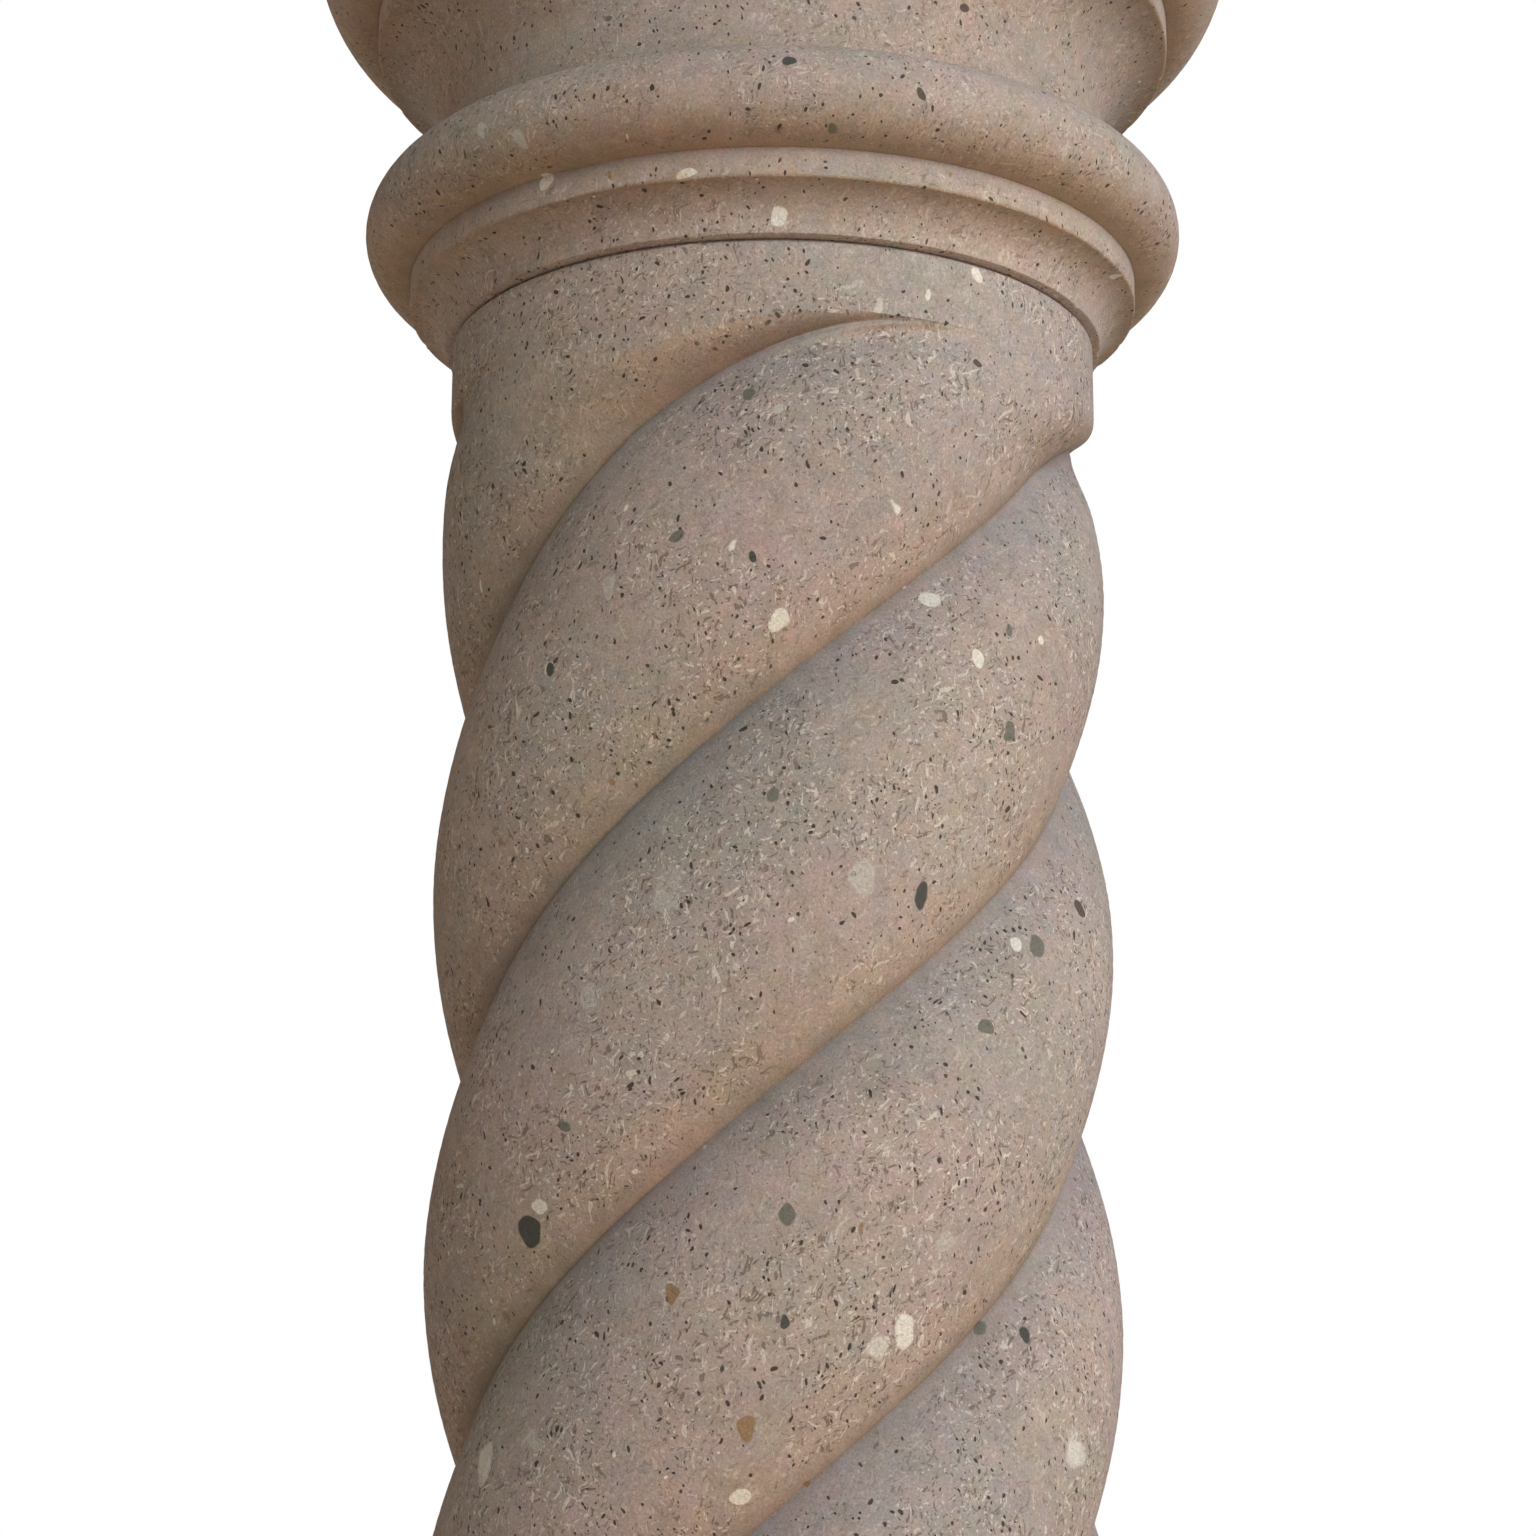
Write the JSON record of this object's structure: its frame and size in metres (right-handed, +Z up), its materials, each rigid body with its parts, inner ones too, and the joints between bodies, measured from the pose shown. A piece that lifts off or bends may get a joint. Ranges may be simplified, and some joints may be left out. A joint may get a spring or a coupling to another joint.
{
  "type": "barley twist column",
  "caption": "Carved stone barley twist column: a shaft of twisted strands under a turned capital with a round abacus, on a moulded base with a square plinth.",
  "frame": {"origin": "centre of the plinth's underside, on the column's axis", "axes": "+Z up along the column's axis, the pictured side facing -Y, +X to its right, the plinth's sides along X and Y"},
  "size_m": [0.45, 0.45, 2.4],
  "materials": {
    "base_stone": "honed pinkish beige volcanic tuff with dark and pale grains",
    "shaft_stone": "honed pinkish beige volcanic tuff with dark and pale grains, carved",
    "capital_stone": "honed pinkish beige volcanic tuff with dark and pale grains, turned"
  },
  "bodies": {
    "root": {"base": "base_stone", "shaft": "shaft_stone", "capital": "capital_stone"}
  },
  "joints": []
}
